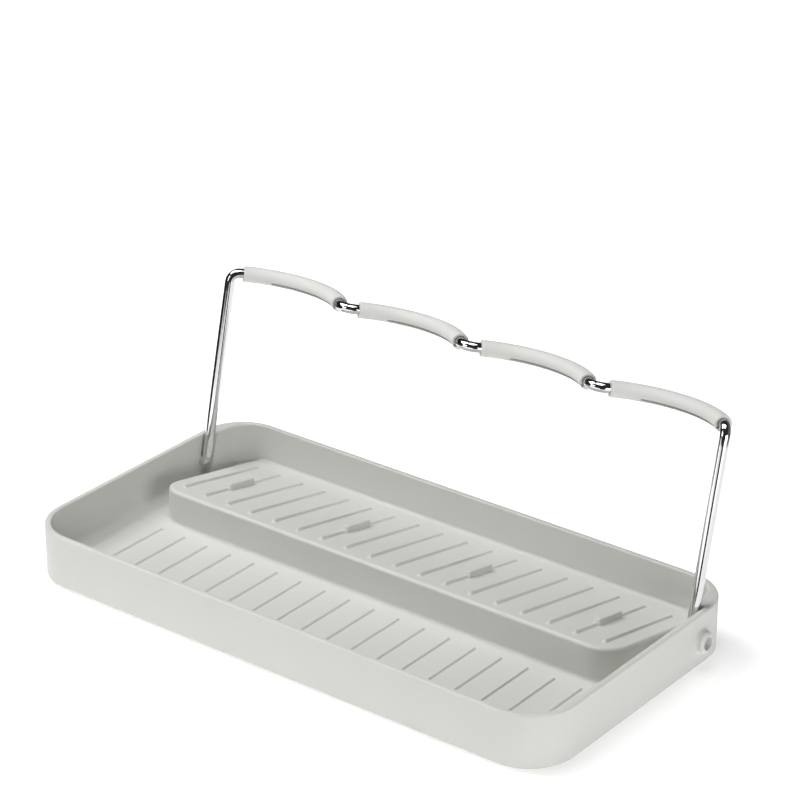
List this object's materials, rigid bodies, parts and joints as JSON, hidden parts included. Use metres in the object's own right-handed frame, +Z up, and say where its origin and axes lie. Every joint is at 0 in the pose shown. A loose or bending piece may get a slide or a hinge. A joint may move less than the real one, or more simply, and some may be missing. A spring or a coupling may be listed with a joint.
{
  "type": "bottle drying rack",
  "caption": "Rimmed drip tray with a sloping ribbed platform and a fold-down wire frame with sleeved scallops that hold bottles upside down.",
  "frame": {"origin": "on the resting surface, under the middle of the whole object with the frame open", "axes": "+X to the right along the tray's long side, +Y towards the back where the bottles lean, +Z up"},
  "size_m": [0.338, 0.1838, 0.123],
  "materials": {
    "tray_plastic": "fine matt moulded texture, light warm grey",
    "polished_wire": "polished stainless steel",
    "sleeve_silicone": "soft matt silicone, off-white",
    "foot_rubber": "matt dark grey"
  },
  "bodies": {
    "base": {"tray": "tray_plastic", "foot_front_left": "foot_rubber", "foot_front_right": "foot_rubber", "foot_rear_left": "foot_rubber", "foot_rear_right": "foot_rubber"},
    "support": {"wire_frame": "polished_wire", "sleeve_1": "sleeve_silicone", "sleeve_2": "sleeve_silicone", "sleeve_3": "sleeve_silicone", "sleeve_4": "sleeve_silicone"}
  },
  "joints": [
    {"name": "frame_fold", "type": "hinge", "parent": "base", "child": "support", "pos_m": [0, 0.04394, 0.0148], "axis": [1, 0, 0], "range_deg": [0, 106]}
  ]
}
